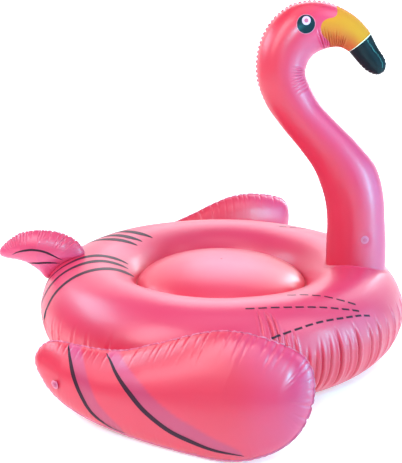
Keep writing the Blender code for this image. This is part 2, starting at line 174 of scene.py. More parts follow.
# widths of the printed lines; the bold ones swell and thin along their length
BOLD = (1.0, 1.15, 1.25, 1.0, 0.80, 0.68, 0.62)
DASH_WIDTH, DASH_START, DASH_LENGTH, DASH_SHORTEST, DASH_PITCH = 0.0075, 0.004, 0.032, 0.030, 0.0445
WING_LINE_WIDTHS = (0.015, 0.016)
WING_SHADE_WIDTHS = (0.052, 0.056)
TAIL_LINE_WIDTH = 0.0085

# colours that go with the ones a user can change
CHEEK = (0.72, 0.036, 0.125)
CHIN = (0.64, 0.045, 0.012)
WING_SHADE = (0.64, 0.06, 0.22)
# paler rose for the tail's lower part: painted light on its shaded underside
TAIL_ROOT_PAINTED_LIGHT = (0.82, 0.085, 0.21)
TAIL_TOP = (0.67, 0.030, 0.100)
TIP_CLOUD = (0.020, 0.028, 0.032)
RIM_PRINT = (0.86, 0.78, 0.55)
VALVE_CLEAR = (0.80, 0.15, 0.27)
# deeper tint of the plugs and caps, partly painted shade round each valve
VALVE_PLUG_PAINTED_SHADE = (0.66, 0.07, 0.17)
PAPER = (0.95, 0.91, 0.89)
BACKDROP = (0.90, 0.90, 0.92)
PAPER_GLOW = (1.0, 0.97, 0.97, 1.0)
AIR = (0.93, 0.92, 1.0, 1.0)

# part of an eye: place from its middle, radius as a share of the eye's, colour and layer
EYE_LAYERS = (
    ("outline", (0, 0), 1.05, (0.80, 0.24, 0.32), 0.5),
    ("disc", (0, 0), 1.0, (0.006, 0.020, 0.028), 1.0),
    ("glint", GLINT, 0.47, (0.66, 0.42, 0.56), 1.6),
    ("centre", GLINT, 0.22, (0.52, 0.11, 0.20), 2.2),
)
# lamp: name, place, what it aims at, width, height, watts and colour
LAMPS = (
    ("right_wall", (3.2, -1.2, 1.15), (0.3, -0.5, 0.8), 5.0, 2.1, 100, (0.15, 0.62, 1.0)),
    ("right_strip", (2.9, -1.2, 1.15), (0.5, 0.0, 0.9), 0.12, 1.9, 60, (0.12, 0.88, 1.0)),
    ("tip_strip", (1.9, 3.0, 1.4), (0.6, 0.0, 1.1), 0.12, 1.6, 30, (0.60, 0.90, 1.0)),
    ("top_right", (2.2, -1.0, 3.4), (0.3, -0.3, 0.3), 1.8, 1.8, 45, (1.0, 0.80, 0.92)),
    ("top_softbox", (0.0, -0.2, 3.5), (0.1, -0.4, 0.3), 1.8, 1.4, 13, (1.0, 0.84, 0.96)),
    ("left_back", (-2.3, 0.3, 2.0), (0.0, -0.6, 0.4), 2.0, 0.9, 44, (0.30, 0.84, 1.0)),
    ("left_key", (-2.1, -2.1, 2.9), (0.0, -0.6, 0.3), 1.2, 2.8, 102, (1.0, 0.74, 0.80)),
    ("front_glow", (0.0, -3.75, 2.3), (0.3, -1.0, 0.3), 0.40, 0.40, 92, (0.09, 0.74, 0.94)),
    ("back_panel", (1.1, 2.8, 2.6), (0.2, -0.2, 0.4), 3.8, 2.2, 62, (0.86, 0.90, 1.0)),
)
CAMERA_PLACE = (RING_X + 0.091, -3.658, 1.528)
CAMERA_AIM = (RING_X - 0.0809, -0.0127, 0.4689)
CAMERA_LENS = 49.8


# ---- what a user can change
class FloatSettings(bpy.types.PropertyGroup):
    """Sizes and colours of the float."""
    tube_width: bpy.props.FloatProperty(
        name="Tube width", description="Width of the ring's tube", default=0.396, unit="LENGTH")
    seat_rise: bpy.props.FloatProperty(
        name="Seat rise", description="How far the seat domes above its weld",
        default=SEAT_HIGH[2] - SEAT_Z, unit="LENGTH")
    wing_thickness: bpy.props.FloatProperty(
        name="Wing thickness", description="A wing's greatest thickness", default=0.190, unit="LENGTH")
    tail_thickness: bpy.props.FloatProperty(
        name="Tail thickness", description="The tail's greatest thickness", default=0.100, unit="LENGTH")
    fold_depth: bpy.props.FloatProperty(
        name="Fold depth", description="Depth of the deepest fold on the ring", default=0.0085,
        unit="LENGTH")
    tooth_depth: bpy.props.FloatProperty(
        name="Seam tooth", description="Depth of the teeth on the neck's seam", default=0.0040, unit="LENGTH")
    tooth_pitch: bpy.props.FloatProperty(
        name="Seam pitch", description="Length of one seam tooth", default=0.0180, unit="LENGTH")
    eye_size: bpy.props.FloatProperty(
        name="Eye", description="Diameter of an eye", default=0.066, unit="LENGTH")
    film_lift: bpy.props.FloatProperty(
        name="Print lift", description="How far a printed film stands off the vinyl", default=0.0006,
        unit="LENGTH")
    coral: bpy.props.FloatVectorProperty(
        name="Coral", description="Main vinyl colour", subtype="COLOR", default=(0.690, 0.020, 0.052))
    rose: bpy.props.FloatVectorProperty(
        name="Rose", description="Pinker vinyl colour", subtype="COLOR", default=(0.670, 0.034, 0.120))
    lilac: bpy.props.FloatVectorProperty(
        name="Lilac", description="Colour of thin, stretched film", subtype="COLOR",
        default=(0.880, 0.400, 0.520))
    maroon: bpy.props.FloatVectorProperty(
        name="Maroon", description="Shade printed beside the wing lines", subtype="COLOR",
        default=(0.400, 0.030, 0.110))
    yellow: bpy.props.FloatVectorProperty(
        name="Yellow", description="Upper colour of the beak", subtype="COLOR", default=(0.660, 0.222, 0.0))
    orange: bpy.props.FloatVectorProperty(
        name="Orange", description="Lower colour of the beak", subtype="COLOR", default=(0.600, 0.085, 0.008))
    ink: bpy.props.FloatVectorProperty(
        name="Ink", description="Colour of the printed strokes", subtype="COLOR",
        default=(0.040, 0.008, 0.018))
    slate: bpy.props.FloatVectorProperty(
        name="Slate", description="Colour of the beak tip and the eyes", subtype="COLOR",
        default=(0.008, 0.013, 0.016))


def settings():
    """The panel's settings."""
    return bpy.context.scene.bird_float


# ---- shader maths
class Wire:
    """A value on its way through a material; arithmetic on it adds Math nodes."""

    def __init__(self, finish, socket):
        self.finish = finish
        self.socket = socket

    def _maths(self, operation, first, second):
        return self.finish.node("ShaderNodeMath", {"operation": operation}, {0: first, 1: second})

    def __add__(self, other):
        return self._maths("ADD", self, other)

    def __radd__(self, other):
        return self._maths("ADD", other, self)

    def __sub__(self, other):
        return self._maths("SUBTRACT", self, other)

    def __rsub__(self, other):
        return self._maths("SUBTRACT", other, self)

    def __mul__(self, other):
        return self._maths("MULTIPLY", self, other)

    def __rmul__(self, other):
        return self._maths("MULTIPLY", other, self)


class Finish:
    """One material in the making."""

    def __init__(self, name, **constants):
        self.material = bpy.data.materials.new(name)
        self.material.use_nodes = True
        self.tree = self.material.node_tree
        self.shader = self.tree.nodes["Principled BSDF"]
        for key, value in constants.items():
            self.shader.inputs[key.replace("_", " ")].default_value = value

    def node(self, kind, options, values, output=0):
        """Add one node, set its options first and then its sockets, and return a Wire from it."""
        node = self.tree.nodes.new(kind)
        for key, value in options.items():
            setattr(node, key, value)
        for key, value in values.items():
            if isinstance(value, Wire):
                self.tree.links.new(value.socket, node.inputs[key])
            else:
                node.inputs[key].default_value = value
        return Wire(self, node.outputs[output])

    def link(self, wire, name):
        """Feed a wire to the shader."""
        self.tree.links.new(wire.socket, self.shader.inputs[name])

    def attribute(self, name):
        """A value stored on the skin's points."""
        return self.node("ShaderNodeAttribute", {"attribute_name": name}, {}, "Fac")

    def noise(self, scale, detail=2.0, roughness=0.5):
        """Smooth noise fixed to the piece."""
        place = self.node("ShaderNodeTexCoord", {}, {}, "Object")
        return self.node("ShaderNodeTexNoise", {}, {
            "Vector": place, "Scale": scale, "Detail": detail, "Roughness": roughness})

    def step(self, value, low, high):
        """0 below low, 1 above high and smooth between."""
        return self.node("ShaderNodeMapRange", {"interpolation_type": "SMOOTHSTEP"}, {
            "Value": value, "From Min": low, "From Max": high})

    def mix(self, share, first, second):
        """Blend two colours."""
        return self.node("ShaderNodeMix", {"data_type": "RGBA"}, {
            "Factor": share, 6: paint(first), 7: paint(second)}, 2)

    def upward(self):
        """How far a surface faces up: 1 on top, 0 on a wall and -1 below."""
        normal = self.node("ShaderNodeNewGeometry", {}, {}, "Normal")
        return self.node("ShaderNodeSeparateXYZ", {}, {"Vector": normal}, "Z")

    def ripple(self, strength, distance=0.002, scale=22.0):
        """Faint waves in stretched film."""
        height = self.noise(scale, 3.0) + self.noise(160.0, 1.0) * 0.12
        bump = self.node("ShaderNodeBump", {}, {
            "Strength": strength, "Distance": distance, "Height": height})
        self.link(bump, "Normal")


def paint(colour):
    """A colour with alpha, unless it is a wire."""
    return colour if isinstance(colour, Wire) else (*colour, 1.0)


def shade(colour, factor, offset):
    """A lighter or darker version of a colour."""
    return tuple(min(1.0, part * factor + offset) for part in colour)


def vinyl(name, colour_of, printed=None):
    """Satin inflated vinyl; colour_of takes the finish and returns its base colour.

    Where the printed attribute is above 0, the skin has a layer of matt ink.
    """
    coat = 0.15
    finish = Finish(name, Coat_Weight=coat, Coat_Roughness=0.20, Coat_IOR=1.5, IOR=1.46,
                    Specular_IOR_Level=0.80)
    finish.link(colour_of(finish), "Base Color")
    rough = 0.34 + finish.noise(9.0, 3.0) * 0.10
    if printed:
        ink = finish.step(finish.attribute(printed), -0.001, 0.001)
        rough = rough + ink * 0.55
        finish.link(coat - ink * coat, "Coat Weight")
    finish.link(rough, "Roughness")
    finish.ripple(0.10)
    return finish.material


def body_colour(finish):
    """Coral vinyl that turns rose where it faces up, a painted light from above, with faint random clouding.
    """
    s = settings()
    clouds = finish.noise(3.0, 3.0)
    # painted light: the share of rose grows where the skin faces up, as if lit from above
    share = finish.step(finish.upward() + clouds * 0.5, 0.10, 1.30)
    return finish.mix(share * 0.6, s.coral, s.rose)


def seat_colour(finish):
    """Like the ring, a little pinker at the middle, where the dome faces up: painted light from above."""
    s = settings()
    # painted light: pinker towards the middle, the top of the dome, with random clouding
    share = finish.step(finish.attribute("middle") + finish.noise(4.0) * 0.3, 0.1, 1.1)
    return finish.mix(share, s.coral, s.rose)


def neck_colour(finish):
    """Coral down the back and rose towards the throat, the side that faces the lamps on the right, as painted
    light; and the yellow and orange of the face.
    """
    s = settings()
    turn = finish.attribute("turn")
    edge = finish.attribute("face_edge")
    clouds = finish.noise(4.0, 3.0)
    # painted light: rose towards the throat, which faces the light from the right, with random clouding
    skin = finish.mix(finish.step(turn + clouds * 0.16, 0.45, 0.85), s.coral, s.rose)
    skin = finish.mix(finish.step(edge, -0.110, -0.010) * 0.70, skin, CHEEK)
    face = finish.mix(finish.step(turn + clouds * 0.10, 0.40, 0.76), s.yellow, s.orange)
    face = finish.mix(finish.step(turn, 0.80, 1.0) * 0.7, face, CHIN)
    return finish.mix(finish.step(edge, -0.0012, 0.0012), skin, face)


def wing_colour(finish):
    """Coral wing with rose ends, rose towards its top as painted light from above, and the maroon shade
    beside each printed line.
    """
    s = settings()
    clouds = finish.noise(3.5, 3.0)
    # rim share: printed rose at the far end, and painted light towards the top
    skin = finish.mix(finish.step(finish.attribute("rim") + clouds * 0.30, 0.35, 1.10), s.coral, s.rose)
    band = finish.mix(finish.step(finish.attribute("lift"), 0.45, 1.10), s.maroon, WING_SHADE)
    return finish.mix(finish.attribute("band") * 0.62, skin, band)


def tail_colour(finish):
    """Pale rose at the root, painted light on the tail's shaded underside, and a deeper rose above."""
    share = finish.step(finish.attribute("lift") + finish.noise(6.0) * 0.3, 0.30, 1.05)
    return finish.mix(share, TAIL_ROOT_PAINTED_LIGHT, TAIL_TOP)


def film_colour(finish):
    """The lighter flat film of a weld seam."""
    s = settings()
    return finish.mix(finish.noise(40.0) * 0.8, s.rose, s.lilac)


def ink_finish(name, colour, roughness=0.38):
    """Screen printing ink: a thin, slightly uneven layer."""
    finish = Finish(name, Specular_IOR_Level=0.20)
    clouds = finish.noise(60.0, 2.0)
    finish.link(finish.mix(clouds * 0.35, colour, shade(colour, 1.6, 0.004)), "Base Color")
    finish.link(roughness + clouds * 0.08, "Roughness")
    finish.ripple(0.05)
    return finish.material


def glossy_tip():
    """The dark, shiny vinyl of the beak tip."""
    finish = Finish("beak_tip_vinyl", Specular_IOR_Level=0.11)
    clouds = finish.noise(20.0, 2.0)
    finish.link(finish.mix(clouds * 0.5, settings().slate, TIP_CLOUD), "Base Color")
    finish.link(0.10 + clouds * 0.04, "Roughness")
    finish.ripple(0.16, scale=30.0)
    return finish.material


def valve_finish(name, tint):
    """Soft moulded vinyl of the valves, slightly milky."""
    finish = Finish(name, Coat_Weight=0.5, Coat_Roughness=0.12, IOR=1.5, Transmission_Weight=0.15)
    clouds = finish.noise(90.0, 2.0)
    finish.link(finish.mix(clouds * 0.6, tint, shade(tint, 0.8, 0.05)), "Base Color")
    finish.link(0.26 + clouds * 0.08, "Roughness")
    finish.ripple(0.08, 0.0006, 120.0)
    return finish.material


# ---- curves and grids
def through(points, count, closed=False):
    """That many points on a smooth curve through the given ones."""
    p = np.asarray(points, float)
    size = len(p)
    if closed:
        t = np.arange(count) * size / count
        i = t.astype(int)
        a, b, c, d = (p[(i + k) % size] for k in (-1, 0, 1, 2))
    else:
        t = np.linspace(0, size - 1, count)
        i = np.minimum(t.astype(int), size - 2)
        q = np.vstack([2 * p[0] - p[1], p, 2 * p[-1] - p[-2]])
        a, b, c, d = (q[i + k] for k in (0, 1, 2, 3))
    f = (t - i)[:, None]
    curve = 2 * b + (c - a) * f + (2 * a - 5 * b + 4 * c - d) * f ** 2 + (3 * b - a - 3 * c + d) * f ** 3
    return curve / 2


def run_lengths(p, closed=False):
    """Distance along a row of points, and the whole length."""
    q = np.vstack([p, p[:1]]) if closed else p
    steps = np.linalg.norm(np.diff(q, axis=0), axis=1)
    at = np.concatenate([[0.0], np.cumsum(steps)])
    return (at[:-1], at[-1]) if closed else (at, at[-1])


def evenly(p, count, closed=False):
    """The same curve with evenly spaced points."""
    q = np.vstack([p, p[:1]]) if closed else p
    at = run_lengths(q)[0]
    want = np.linspace(0, at[-1], count + 1)[:-1] if closed else np.linspace(0, at[-1], count)
    return np.stack([np.interp(want, at, q[:, k]) for k in range(q.shape[1])], 1)


def smooth(x, low, high):
    """0 below low, 1 above high and smooth between."""
    t = np.clip((x - low) / (high - low), 0, 1)
    return t * t * (3 - 2 * t)


def facing(p, wrap_rows=False, wrap_cols=False):
    """Unit normals of a grid of points."""
    def slope(axis, wrap):
        if wrap:
            return np.roll(p, -1, axis) - np.roll(p, 1, axis)
        return np.gradient(p, axis=axis)
    n = np.cross(slope(0, wrap_rows), slope(1, wrap_cols))
    return n / np.maximum(np.linalg.norm(n, axis=2, keepdims=True), 1e-9)


def grid_faces(rows, cols, wrap_rows=False, wrap_cols=False):
    """Corner numbers of a grid's quads."""
    i = np.arange(rows if wrap_rows else rows - 1)[:, None]
    j = np.arange(cols if wrap_cols else cols - 1)[None, :]
    k = (i + 1) % rows
    m = (j + 1) % cols
    corners = [i * cols + j, k * cols + j, k * cols + m, i * cols + m]
    return np.stack([np.broadcast_to(c, (i.size, j.size)) for c in corners], -1).reshape(-1, 4)


class Skin:
    """A surface made of grids: it becomes one object, and prints cling to it."""

    def __init__(self, name):
        self.name = name
        self.points = np.zeros((0, 3))
        self.faces = np.zeros((0, 4), int)
        self.values = {}

    def add(self, p, wrap_rows=False, wrap_cols=False, **values):
        """Add one grid of points, with a value for each point under each name."""
        rows, cols = p.shape[:2]
        self.faces = np.vstack([self.faces, grid_faces(rows, cols, wrap_rows, wrap_cols) + len(self.points)])
        before = len(self.points)
        self.points = np.vstack([self.points, p.reshape(-1, 3)])
        for key, value in values.items():
            flat = np.broadcast_to(value, (rows, cols)).reshape(-1)
            old = self.values.get(key, np.zeros(before))
            self.values[key] = np.concatenate([old, flat])
        return self

    def tree(self):
        """A search tree of the surface."""
        return BVHTree.FromPolygons([Vector(p) for p in self.points], [tuple(f) for f in self.faces])

    def build(self, material):
        """Make the object."""
        mesh = bpy.data.meshes.new(self.name)
        mesh.from_pydata(self.points.tolist(), [], self.faces.tolist())
        mesh.validate()
        mesh.shade_smooth()
        for key, value in self.values.items():
            layer = mesh.attributes.new(key, "FLOAT", "POINT")
            layer.data.foreach_set("value", value.astype(np.float32))
        mesh.materials.append(material)
        thing = bpy.data.objects.new(self.name, mesh)
        bpy.context.scene.collection.objects.link(thing)
        return thing


def fold_pattern(s, v, folds):
    """Height of folds over a surface: s runs along the seam and v across it.

    A fold is (place along s, half width, depth, lowest v, highest v, lean).
    """
    total = np.zeros((len(s), len(v)))
    for place, width, depth, low, high, lean in folds:
        window = smooth(v, low, low + 0.35 * (high - low)) * smooth(-v, -high, -high + 0.35 * (high - low))
        off = np.abs(s[:, None] - place - lean * (v - (low + high) / 2)[None, :]) / width
        valley = 0.55 * np.exp(-off ** 2) + 0.75 * np.exp(-(off / 0.42) ** 2)
        shoulder = 0.50 * np.exp(-((off - 1.9) / 1.2) ** 2)
        total += depth * window[None, :] * (shoulder - valley)
    return total


def make_room(p, prefix, joint="_stem_pull", part="_flange", above=0.006, radius=0.018, depth=0.0012):
    """Press a skin flat behind a valve, whose place comes from its node and its joint."""
    low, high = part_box(prefix + part)
    normal = np.array(JOINTS[prefix + joint]["axis"])
    rel = p - ((np.array(low) + np.array(high)) / 2 + normal * above)
    up = rel @ normal
    out = np.linalg.norm(rel - up[..., None] * normal, axis=-1)
    near = (np.abs(up) < radius * 1.2) & (out < radius * 2.0)
    down = np.where(near, np.maximum(up + depth, 0) * (1 - smooth(out, radius, radius * 2.0)), 0.0)
    return p - down[..., None] * normal


def beside(x, z, curve):
    """Signed distance from a flat curve, above 0 on its left, and how far along it, from 0 to 1."""
    best = np.full(x.shape, 9.0)
    along = np.zeros(x.shape)
    for k, ((x0, z0), (x1, z1)) in enumerate(zip(curve, curve[1:])):
        dx, dz = x1 - x0, z1 - z0
        t = np.clip(((x - x0) * dx + (z - z0) * dz) / (dx * dx + dz * dz), 0, 1)
        d = np.hypot(x - x0 - t * dx, z - z0 - t * dz)
        nearer = d < np.abs(best)
        best = np.where(nearer, np.where((x - x0) * dz > (z - z0) * dx, -d, d), best)
        along = np.where(nearer, (k + t) / (len(curve) - 1), along)
    return best, along


# ---- prints that cling to a skin
def cast(tree, starts, ends):
    """Where straight lines from the starts towards the ends meet a skin."""
    hits = []
    for start, end in zip(starts, ends):
        hit = tree.ray_cast(Vector(start), (Vector(end) - Vector(start)).normalized())[0]
        if hit is not None:
            hits.append(list(hit))
    return np.array(hits)


def strokes_on(tree, lines, widths, place, away, count):
    """Both sides of a pillow's printed lines, cast on its skin from a distance away."""
    strokes = []
    for line, width in zip(lines, widths):
        flat = through(line, count).T
        for face in (away, -away):
            hits = cast(tree, place(*flat, np.full(count, face)), place(*flat, np.zeros(count)))
            strokes.append((hits, width))
    return strokes


def film(name, skin_tree, lines, material, lift, taper=0.30, across=5, step=0.004):
    """Printed strokes: each line is (points near the skin, width); they narrow at both ends."""
    skin = Skin(name)
    for points, width in lines:
        line = evenly(points, max(4, int(run_lengths(points)[1] / step)))
        along = np.gradient(line, axis=0)
        along /= np.maximum(np.linalg.norm(along, axis=1, keepdims=True), 1e-9)
        share = np.linspace(0, 1, len(line))
        wide = np.interp(share, np.linspace(0, 1, len(width)), width) if isinstance(width, list) else width
        if taper > 0:
            wide = wide * (0.12 + 0.88 * np.minimum(1, np.minimum(share, 1 - share) / taper) ** 0.7)
        wide = np.broadcast_to(wide, share.shape)
        rows = []
        for p, a, w in zip(line, along, wide):
            spot, n = skin_tree.find_nearest(Vector(p))[:2]
            side = n.cross(Vector(a)).normalized()
            row = []
            for k in range(across):
                hit, m = skin_tree.find_nearest(spot + side * (w * (k / (across - 1) - 0.5)))[:2]
                row.append(hit + m * lift)
            rows.append(row)
        skin.add(np.array(rows, float))
    return skin.build(material)


def disc(name, skin_tree, centre, direction, radius, lift, material, spokes=48, rings=7):
    """A printed disc, laid on the skin along a direction."""
    skin = Skin(name)
    look = Vector(direction).normalized()
    right = look.cross(Vector((0, 0, 1))).normalized()
    up = right.cross(look)
    rows = []
    for k in range(spokes):
        a = 2 * math.pi * k / spokes
        row = []
        for d in np.linspace(0.0, radius, rings):
            q = Vector(centre) + right * (d * math.cos(a)) + up * (d * math.sin(a))
            hit, n = skin_tree.ray_cast(q - look * 0.3, look)[:2]
            row.append(hit + n * lift)
        rows.append(row)
    skin.add(np.array(rows, float), wrap_rows=True)
    return skin.build(material)


# ---- the ring
def tube_points(turn, around, half_width, lift=0.0):
    """Points of the ring's tube, from its two angles in radians."""
    turn = np.asarray(turn, float)
    around = np.asarray(around, float)
    mid = RING_OUT - half_width
    r = mid + (half_width + lift) * np.cos(around)
    rise = np.where(np.sin(around) < 0, TUBE_H + REST_SAG + lift, TUBE_H + lift)
    z = TUBE_H + rise * np.sin(around)
    return np.stack(np.broadcast_arrays(RING_X + r * np.cos(turn), r * np.sin(turn), np.maximum(z, 0.0)), -1)


def ring_folds(rng, depth):
    """Folds round the ring's outer seam: place, half width, depth and reach across it.

    The chest's left half repeats its right half a little shifted, and the left rear is random.
    """
    chest = [
        (-76.6, 0.006, 0.40, 28, 74), (-73.9, 0.008, 0.60, 24, 72), (-72.2, 0.006, 0.55, 20, 66),
        (-70.2, 0.007, 0.45, 8, 44), (-67.5, 0.007, 0.45, 0, 42), (-64.2, 0.008, 0.75, -46, 24),
        (-61.6, 0.006, 0.45, -44, 20), (-59.6, 0.007, 0.75, -50, 30), (-56.9, 0.007, 0.55, -48, 33),
        (-53.2, 0.009, 1.00, -50, 39), (-49.8, 0.006, 0.40, -36, 32), (-46.2, 0.009, 1.00, -50, 38),
        (-40.4, 0.008, 0.70, -46, 34), (-36.2, 0.009, 1.00, -44, 34), (-30.5, 0.008, 0.60, -42, 30),
        (-25.0, 0.009, 0.85, -44, 32), (-18.5, 0.008, 0.60, -42, 30), (-12.0, 0.009, 0.80, -44, 28),
        (-5.0, 0.008, 0.60, -42, 26),
    ]
    right = [
        (-148.5, 0.010, 0.30, -40, 22), (-143.4, 0.009, 0.32, -42, 24), (-136.3, 0.010, 0.38, -44, 28),
        (-129.6, 0.010, 0.32, -44, 30), (-121.9, 0.010, 0.34, -44, 32), (-112.0, 0.009, 0.25, -44, 18),
        (-100.0, 0.009, 0.30, -44, 16), (-89.0, 0.009, 0.30, -46, 16), (-82.0, 0.008, 0.35, -46, 24),
    ]
    marks = chest + [(-a + rng.uniform(-1.5, 1.5), w, d, lo, hi) for a, w, d, lo, hi in chest] + right
    at = 80.0
    while at < 206.0:
        marks.append((at, rng.uniform(0.007, 0.010), rng.uniform(0.20, 0.55), rng.uniform(-48, -36),
                      rng.uniform(12, 34)))
        at += rng.uniform(5.5, 11.0)
    folds = []
    for a, w, d, lo, hi in marks:
        a = a - 360 if a > 180 else a
        folds.append((math.radians(a) * RING_OUT, w * 0.72, d * depth, math.radians(lo), math.radians(hi),
                      rng.uniform(-0.012, 0.012)))
    return folds


def build_ring():
    """The ring's skin, its printed stripes and the dashed lines on the chest."""
    s = settings()
    half = s.tube_width / 2
    rng = np.random.default_rng(4)
    turns = np.radians(np.concatenate([np.arange(-180, -100, 0.45), np.arange(-100, 100, 0.16),
                                       np.arange(100, 179.9, 0.45)]))
    around = np.linspace(-math.pi, math.pi, 121)[:-1]
    p = tube_points(turns[:, None], around[None, :], half)
    lift = fold_pattern(turns * RING_OUT, around, ring_folds(rng, s.fold_depth))
    unevenness, groove = 0.0012, 0.0015
    lift += unevenness * np.sin(turns * 7 + 1.0)[:, None] * np.cos(around * 2)[None, :]
    lift -= (np.exp(-(around / 0.012) ** 2) * groove)[None, :]
    p = p + facing(p, True, True) * lift[..., None]
    p[..., 2] = np.maximum(p[..., 2], 0.0)
    p[(p[..., 2] < 0.004) & (np.abs(around + math.pi / 2) < 0.2)[None, :], 2] = 0.0
    p = make_room(p, "ring_valve", "_cap_pull", "_base", 0.010, 0.034)
    skin = Skin("ring_skin").add(p, True, True)
    ring = skin.build(vinyl("ring_vinyl", body_colour))
    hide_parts("ring_upper_panel", "ring_lower_panel")
    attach(ring, "float")
    tree = skin.tree()
    ink = ink_finish("printed_ink", tuple(s.ink))

    def lay(points, count=60):
        a = np.radians(through(points, count))
        return tube_points(a[:, 0], a[:, 1], half, 0.004)

    strokes = [(lay(points), [w * width for w in BOLD]) for points, width in STRIPES]
    stripes = film("ring_stripes", tree, strokes, ink, s.film_lift, taper=0.16)
    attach(stripes, "float")
    lines = []
    for row in DASHES:
        for side in (1, -1):
            path = evenly(lay([(a * side, t) for a, t in row], 120), 400)
            at, length = run_lengths(path)
            for start in np.arange(DASH_START, length - DASH_SHORTEST, DASH_PITCH):
                lines.append((path[(at >= start) & (at <= start + DASH_LENGTH)], DASH_WIDTH))
    dashes = film("chest_dashes", tree, lines, ink, s.film_lift, taper=0.0, across=3, step=0.006)
    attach(dashes, "float")


# ---- the seat
def build_seat():
    """The domed seat cushion and the film lip of its weld."""
    s = settings()
    turns = np.linspace(-math.pi, math.pi, 289)[:-1]
    share = np.concatenate([[1.0, 0.985], np.linspace(0.98, 0.90, 10), np.linspace(0.885, 0.0, 34)])
    skin = Skin("seat_cushion")
    dome = (1, s.seat_rise - 0.002, 0.55)
    underside = (-1, 0.080, 1.0)
    lip, wave, lip_width = 0.0012, 0.0012, 0.004
    weld = share[1]
    for sign, depth, power in (dome, underside):
        t = np.minimum(1.0, share / weld)
        h = depth * np.maximum(0.0, 1 - t ** 2.2) ** power + lip
        r = SEAT_R * share + lip_width
        waves = wave * np.sin(turns * 23)[:, None] * np.exp(-((share - 0.94) / 0.03) ** 2)[None, :]
        x = RING_X + r[None, :] * np.cos(turns)[:, None]
        y = r[None, :] * np.sin(turns)[:, None]
        z = SEAT_Z + sign * h[None, :] + waves
        p = np.stack([x, y, z], -1)
        if sign < 0:
            p = make_room(p, "seat_valve")[::-1]
        skin.add(p, True, False, middle=(1 - share)[None, :])
    seat = skin.build(vinyl("seat_vinyl", seat_colour))
    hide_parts("seat_upper_panel", "seat_lower_panel")
    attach(seat, "float")


# ---- neck, head and beak
def tube_rows(rows, count, columns):
    """A tube through control rows: its points, the angle round it, the way along its back, the rows."""
    r = through(rows, count)
    back = np.stack([RING_X + r[:, 0], np.zeros(count), r[:, 1]], 1)
    front = np.stack([RING_X + r[:, 2], np.zeros(count), r[:, 3]], 1)
    centre = (back + front) / 2
    along = (back - front) / 2
    angle = np.linspace(0, 2 * math.pi, columns + 1)[:-1]
    p = centre[:, None] + along[:, None] * np.cos(angle)[None, :, None]
    p[..., 1] += r[:, 4][:, None] * np.sin(angle)[None, :]
    return p, angle, run_lengths(back)[0], r


def face_distance(p):
    """Signed distance from the line where the yellow begins, above 0 on the yellow side."""
    best = beside(p[..., 0] - RING_X, p[..., 2], through(FACE_EDGE, 80))[0]
    return np.where(p[..., 2] < FACE_LOWEST, -np.abs(best), best)


def build_neck():
    """Neck and head in one tall skin, with teeth along its back seam and folds at its bends."""
    s = settings()
    rng = np.random.default_rng(11)
    p, angle, at, r = tube_rows(NECK_ROWS, 620, 120)
    n = facing(p, False, True)
    z = r[:, 1]
    from_seam = np.minimum(angle, 2 * math.pi - angle)
    upper = smooth(z, 0.94, 1.10) * smooth(-r[:, 0], -0.46, -0.34)
    tooth = np.abs(np.sin(math.pi * at / s.tooth_pitch)) ** 0.7 - 1
    reach = np.exp(-(from_seam / 0.20) ** 2) + 0.25 * np.exp(-(from_seam / 0.45) ** 2)
    lift = s.tooth_depth * (0.16 + 0.84 * upper)[:, None] * tooth[:, None] * reach[None, :]
    throat = []
    start = at[np.argmin(np.abs(z - 0.97) + (r[:, 0] > 0.25))]
    for k in range(9):
        throat.append((start + 0.0215 * k, 0.0062, 0.0023 * rng.uniform(0.6, 1.0),
                       math.radians(106 + rng.uniform(-5, 5)), math.radians(158 + rng.uniform(-6, 6)), 0.0))
    chin = at[np.argmin(np.abs(r[:, 0] - 0.33) + (z < 1.2))]
    for k in range(11):
        throat.append((chin + 0.0165 * k - 0.020, 0.0058, 0.0052 * rng.uniform(0.6, 1.0),
                       math.radians(84 + 2 * k + rng.uniform(-5, 5)), math.radians(181), 0.0))
    both = fold_pattern(at, angle, throat)
    lift += both + np.roll(both[:, ::-1], 1, axis=1)
    lift += 0.0010 * np.sin(at * 9)[:, None] * np.sin(angle * 2)[None, :]
    p = p + n * lift[..., None]
    p = make_room(p, "neck_valve")
    turn = (from_seam / math.pi)[None, :]
    skin = Skin("neck_skin").add(p, False, True, turn=turn, face_edge=face_distance(p))
    neck = skin.build(vinyl("neck_vinyl", neck_colour, "face_edge"))
    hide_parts("neck_left_panel", "neck_right_panel")
    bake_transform(neck)
    tree = skin.tree()

    film_vinyl = vinyl("weld_film", film_colour)
    back = p[:, 0]
    out = back - p[:, 4]
    out[:, 1] = 0
    out /= np.linalg.norm(out, axis=1, keepdims=True)
    wide = 0.0015 + 0.0045 * upper * (0.45 + 0.55 * tooth)
    sway = 0.0014 * np.sin(math.pi * at / s.tooth_pitch + 0.6) * (0.3 + 0.7 * upper)
    rows = []
    for share in (-0.8, 0.0, 0.5, 1.0):
        q = back + out * (wide * share)[:, None]
        q[:, 1] = sway * max(share, 0.0)
        rows.append(q)
    seam = Skin("neck_seam").add(np.stack(rows, 1)[12:-6]).build(film_vinyl)
    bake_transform(seam)
    build_weld()
    build_beak_tip()
    build_eyes(tree)


def build_weld():
    """The flange of film that joins the neck's foot to the ring."""
    half = settings().tube_width / 2
    mid = RING_OUT - half
    angle = np.linspace(0, 2 * math.pi, 193)[:-1]
    rows = []
    profile = ((0.110, 0.008), (0.1175, 0.0045), (0.1195, 0.0026), (0.1220, 0.0018), (0.1250, 0.0015),
               (0.1275, 0.0006))
    for r, lift in profile:
        r = r + (0.0006 * np.sin(angle * 26 + 0.5) if r > 0.123 else 0.0)
        x = NECK_MID + r * np.cos(angle)
        y = r * np.sin(angle)
        off = (np.hypot(x, y) - mid) / half
        z = TUBE_H + TUBE_H * np.sqrt(np.maximum(0, 1 - off ** 2)) + lift + 0.0003 * np.sin(angle * 31)
        rows.append(np.stack([RING_X + x, y, z], 1))
    weld = Skin("neck_weld").add(np.stack(rows, 1), True, False).build(bpy.data.materials["ring_vinyl"])
    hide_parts("neck_cuff")
    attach(weld, "float")


